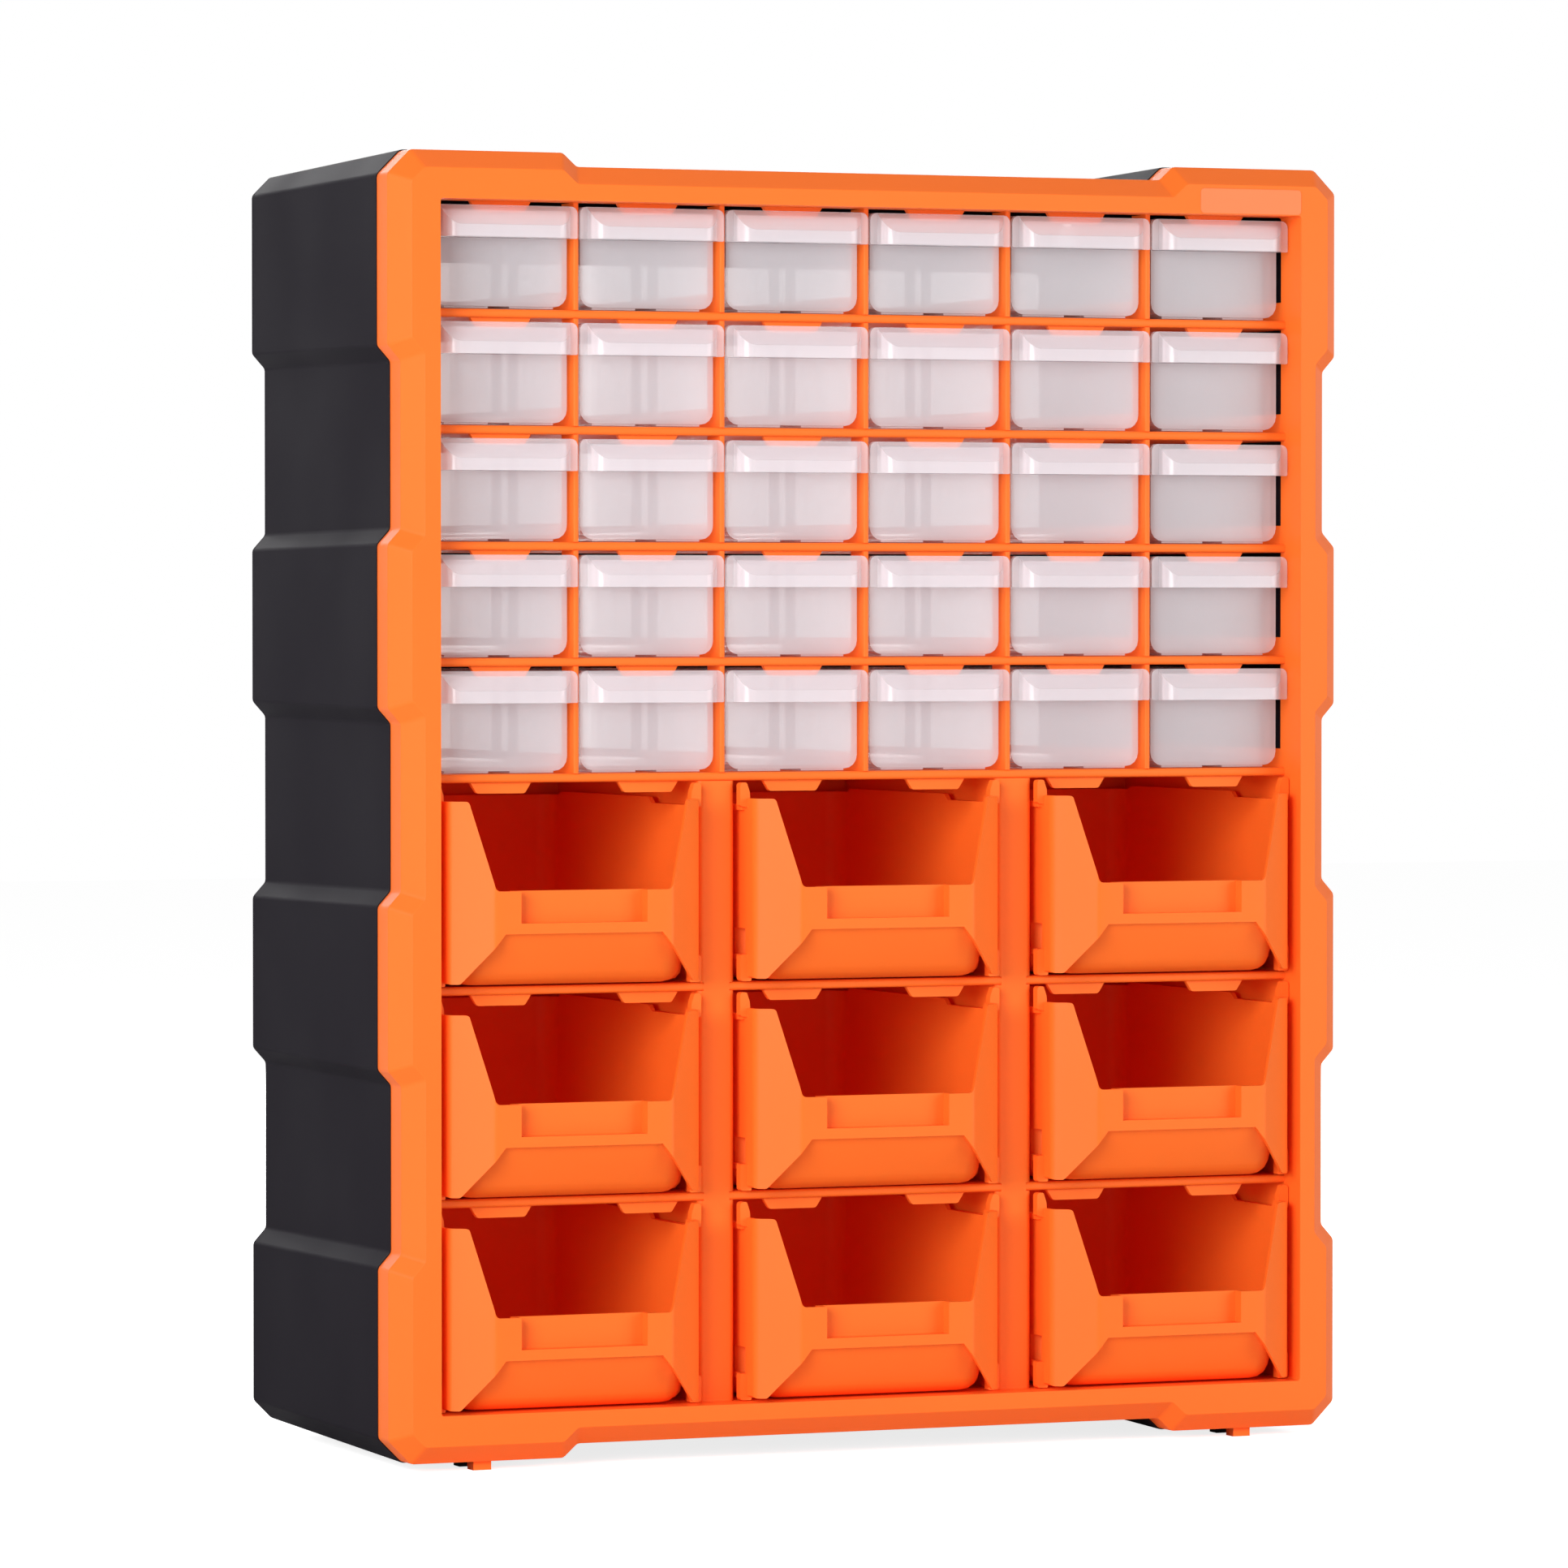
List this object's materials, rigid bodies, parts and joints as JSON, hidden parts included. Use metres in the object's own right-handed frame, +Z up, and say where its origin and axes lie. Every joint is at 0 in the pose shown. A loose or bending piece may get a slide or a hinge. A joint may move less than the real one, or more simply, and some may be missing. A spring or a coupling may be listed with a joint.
{
  "type": "parts bin cabinet",
  "caption": "Desktop or wall storage cabinet with small clear pull-out drawers above larger open-fronted bins in a moulded frame and housing.",
  "frame": {"origin": "on the surface that the cabinet stands on, under the middle of its bounding box", "axes": "+Z up, +Y from the open front to the back, +X to the right as seen from the front"},
  "size_m": [0.3798, 0.167, 0.4752],
  "materials": {
    "orange_plastic": "satin moulded polypropylene",
    "black_plastic": "satin moulded polypropylene",
    "clear_plastic": "milky see-through moulded polypropylene"
  },
  "bodies": {
    "cabinet": {"front_frame": "orange_plastic", "housing": "black_plastic", "back_panel": "black_plastic", "floor_plate": "orange_plastic", "shelf_1": "orange_plastic", "shelf_2": "orange_plastic", "shelf_3": "orange_plastic", "shelf_4": "orange_plastic", "shelf_5": "orange_plastic", "shelf_6": "orange_plastic", "shelf_7": "orange_plastic", "dividers_1": "orange_plastic", "dividers_2": "orange_plastic", "dividers_3": "orange_plastic", "dividers_4": "orange_plastic", "dividers_5": "orange_plastic", "bay_lining_1": "orange_plastic", "bay_lining_2": "orange_plastic", "bay_lining_3": "orange_plastic"},
    "drawer_1_1": {"drawer_1_1": "clear_plastic"},
    "drawer_1_2": {"drawer_1_2": "clear_plastic"},
    "drawer_1_3": {"drawer_1_3": "clear_plastic"},
    "drawer_1_4": {"drawer_1_4": "clear_plastic"},
    "drawer_1_5": {"drawer_1_5": "clear_plastic"},
    "drawer_1_6": {"drawer_1_6": "clear_plastic"},
    "drawer_2_1": {"drawer_2_1": "clear_plastic"},
    "drawer_2_2": {"drawer_2_2": "clear_plastic"},
    "drawer_2_3": {"drawer_2_3": "clear_plastic"},
    "drawer_2_4": {"drawer_2_4": "clear_plastic"},
    "drawer_2_5": {"drawer_2_5": "clear_plastic"},
    "drawer_2_6": {"drawer_2_6": "clear_plastic"},
    "drawer_3_1": {"drawer_3_1": "clear_plastic"},
    "drawer_3_2": {"drawer_3_2": "clear_plastic"},
    "drawer_3_3": {"drawer_3_3": "clear_plastic"},
    "drawer_3_4": {"drawer_3_4": "clear_plastic"},
    "drawer_3_5": {"drawer_3_5": "clear_plastic"},
    "drawer_3_6": {"drawer_3_6": "clear_plastic"},
    "drawer_4_1": {"drawer_4_1": "clear_plastic"},
    "drawer_4_2": {"drawer_4_2": "clear_plastic"},
    "drawer_4_3": {"drawer_4_3": "clear_plastic"},
    "drawer_4_4": {"drawer_4_4": "clear_plastic"},
    "drawer_4_5": {"drawer_4_5": "clear_plastic"},
    "drawer_4_6": {"drawer_4_6": "clear_plastic"},
    "drawer_5_1": {"drawer_5_1": "clear_plastic"},
    "drawer_5_2": {"drawer_5_2": "clear_plastic"},
    "drawer_5_3": {"drawer_5_3": "clear_plastic"},
    "drawer_5_4": {"drawer_5_4": "clear_plastic"},
    "drawer_5_5": {"drawer_5_5": "clear_plastic"},
    "drawer_5_6": {"drawer_5_6": "clear_plastic"},
    "bin_1_1": {"bin_1_1": "orange_plastic"},
    "bin_1_2": {"bin_1_2": "orange_plastic"},
    "bin_1_3": {"bin_1_3": "orange_plastic"},
    "bin_2_1": {"bin_2_1": "orange_plastic"},
    "bin_2_2": {"bin_2_2": "orange_plastic"},
    "bin_2_3": {"bin_2_3": "orange_plastic"},
    "bin_3_1": {"bin_3_1": "orange_plastic"},
    "bin_3_2": {"bin_3_2": "orange_plastic"},
    "bin_3_3": {"bin_3_3": "orange_plastic"}
  },
  "joints": [
    {"name": "drawer_1_1_slide", "type": "slide", "parent": "cabinet", "child": "drawer_1_1", "axis": [0, -1, 0], "range_m": [0, 0.128]},
    {"name": "drawer_1_2_slide", "type": "slide", "parent": "cabinet", "child": "drawer_1_2", "axis": [0, -1, 0], "range_m": [0, 0.128]},
    {"name": "drawer_1_3_slide", "type": "slide", "parent": "cabinet", "child": "drawer_1_3", "axis": [0, -1, 0], "range_m": [0, 0.128]},
    {"name": "drawer_1_4_slide", "type": "slide", "parent": "cabinet", "child": "drawer_1_4", "axis": [0, -1, 0], "range_m": [0, 0.128]},
    {"name": "drawer_1_5_slide", "type": "slide", "parent": "cabinet", "child": "drawer_1_5", "axis": [0, -1, 0], "range_m": [0, 0.128]},
    {"name": "drawer_1_6_slide", "type": "slide", "parent": "cabinet", "child": "drawer_1_6", "axis": [0, -1, 0], "range_m": [0, 0.128]},
    {"name": "drawer_2_1_slide", "type": "slide", "parent": "cabinet", "child": "drawer_2_1", "axis": [0, -1, 0], "range_m": [0, 0.128]},
    {"name": "drawer_2_2_slide", "type": "slide", "parent": "cabinet", "child": "drawer_2_2", "axis": [0, -1, 0], "range_m": [0, 0.128]},
    {"name": "drawer_2_3_slide", "type": "slide", "parent": "cabinet", "child": "drawer_2_3", "axis": [0, -1, 0], "range_m": [0, 0.128]},
    {"name": "drawer_2_4_slide", "type": "slide", "parent": "cabinet", "child": "drawer_2_4", "axis": [0, -1, 0], "range_m": [0, 0.128]},
    {"name": "drawer_2_5_slide", "type": "slide", "parent": "cabinet", "child": "drawer_2_5", "axis": [0, -1, 0], "range_m": [0, 0.128]},
    {"name": "drawer_2_6_slide", "type": "slide", "parent": "cabinet", "child": "drawer_2_6", "axis": [0, -1, 0], "range_m": [0, 0.128]},
    {"name": "drawer_3_1_slide", "type": "slide", "parent": "cabinet", "child": "drawer_3_1", "axis": [0, -1, 0], "range_m": [0, 0.128]},
    {"name": "drawer_3_2_slide", "type": "slide", "parent": "cabinet", "child": "drawer_3_2", "axis": [0, -1, 0], "range_m": [0, 0.128]},
    {"name": "drawer_3_3_slide", "type": "slide", "parent": "cabinet", "child": "drawer_3_3", "axis": [0, -1, 0], "range_m": [0, 0.128]},
    {"name": "drawer_3_4_slide", "type": "slide", "parent": "cabinet", "child": "drawer_3_4", "axis": [0, -1, 0], "range_m": [0, 0.128]},
    {"name": "drawer_3_5_slide", "type": "slide", "parent": "cabinet", "child": "drawer_3_5", "axis": [0, -1, 0], "range_m": [0, 0.128]},
    {"name": "drawer_3_6_slide", "type": "slide", "parent": "cabinet", "child": "drawer_3_6", "axis": [0, -1, 0], "range_m": [0, 0.128]},
    {"name": "drawer_4_1_slide", "type": "slide", "parent": "cabinet", "child": "drawer_4_1", "axis": [0, -1, 0], "range_m": [0, 0.128]},
    {"name": "drawer_4_2_slide", "type": "slide", "parent": "cabinet", "child": "drawer_4_2", "axis": [0, -1, 0], "range_m": [0, 0.128]},
    {"name": "drawer_4_3_slide", "type": "slide", "parent": "cabinet", "child": "drawer_4_3", "axis": [0, -1, 0], "range_m": [0, 0.128]},
    {"name": "drawer_4_4_slide", "type": "slide", "parent": "cabinet", "child": "drawer_4_4", "axis": [0, -1, 0], "range_m": [0, 0.128]},
    {"name": "drawer_4_5_slide", "type": "slide", "parent": "cabinet", "child": "drawer_4_5", "axis": [0, -1, 0], "range_m": [0, 0.128]},
    {"name": "drawer_4_6_slide", "type": "slide", "parent": "cabinet", "child": "drawer_4_6", "axis": [0, -1, 0], "range_m": [0, 0.128]},
    {"name": "drawer_5_1_slide", "type": "slide", "parent": "cabinet", "child": "drawer_5_1", "axis": [0, -1, 0], "range_m": [0, 0.128]},
    {"name": "drawer_5_2_slide", "type": "slide", "parent": "cabinet", "child": "drawer_5_2", "axis": [0, -1, 0], "range_m": [0, 0.128]},
    {"name": "drawer_5_3_slide", "type": "slide", "parent": "cabinet", "child": "drawer_5_3", "axis": [0, -1, 0], "range_m": [0, 0.128]},
    {"name": "drawer_5_4_slide", "type": "slide", "parent": "cabinet", "child": "drawer_5_4", "axis": [0, -1, 0], "range_m": [0, 0.128]},
    {"name": "drawer_5_5_slide", "type": "slide", "parent": "cabinet", "child": "drawer_5_5", "axis": [0, -1, 0], "range_m": [0, 0.128]},
    {"name": "drawer_5_6_slide", "type": "slide", "parent": "cabinet", "child": "drawer_5_6", "axis": [0, -1, 0], "range_m": [0, 0.128]},
    {"name": "bin_1_1_slide", "type": "slide", "parent": "cabinet", "child": "bin_1_1", "axis": [0, -1, 0], "range_m": [0, 0.12]},
    {"name": "bin_1_2_slide", "type": "slide", "parent": "cabinet", "child": "bin_1_2", "axis": [0, -1, 0], "range_m": [0, 0.12]},
    {"name": "bin_1_3_slide", "type": "slide", "parent": "cabinet", "child": "bin_1_3", "axis": [0, -1, 0], "range_m": [0, 0.12]},
    {"name": "bin_2_1_slide", "type": "slide", "parent": "cabinet", "child": "bin_2_1", "axis": [0, -1, 0], "range_m": [0, 0.12]},
    {"name": "bin_2_2_slide", "type": "slide", "parent": "cabinet", "child": "bin_2_2", "axis": [0, -1, 0], "range_m": [0, 0.12]},
    {"name": "bin_2_3_slide", "type": "slide", "parent": "cabinet", "child": "bin_2_3", "axis": [0, -1, 0], "range_m": [0, 0.12]},
    {"name": "bin_3_1_slide", "type": "slide", "parent": "cabinet", "child": "bin_3_1", "axis": [0, -1, 0], "range_m": [0, 0.12]},
    {"name": "bin_3_2_slide", "type": "slide", "parent": "cabinet", "child": "bin_3_2", "axis": [0, -1, 0], "range_m": [0, 0.12]},
    {"name": "bin_3_3_slide", "type": "slide", "parent": "cabinet", "child": "bin_3_3", "axis": [0, -1, 0], "range_m": [0, 0.12]}
  ]
}
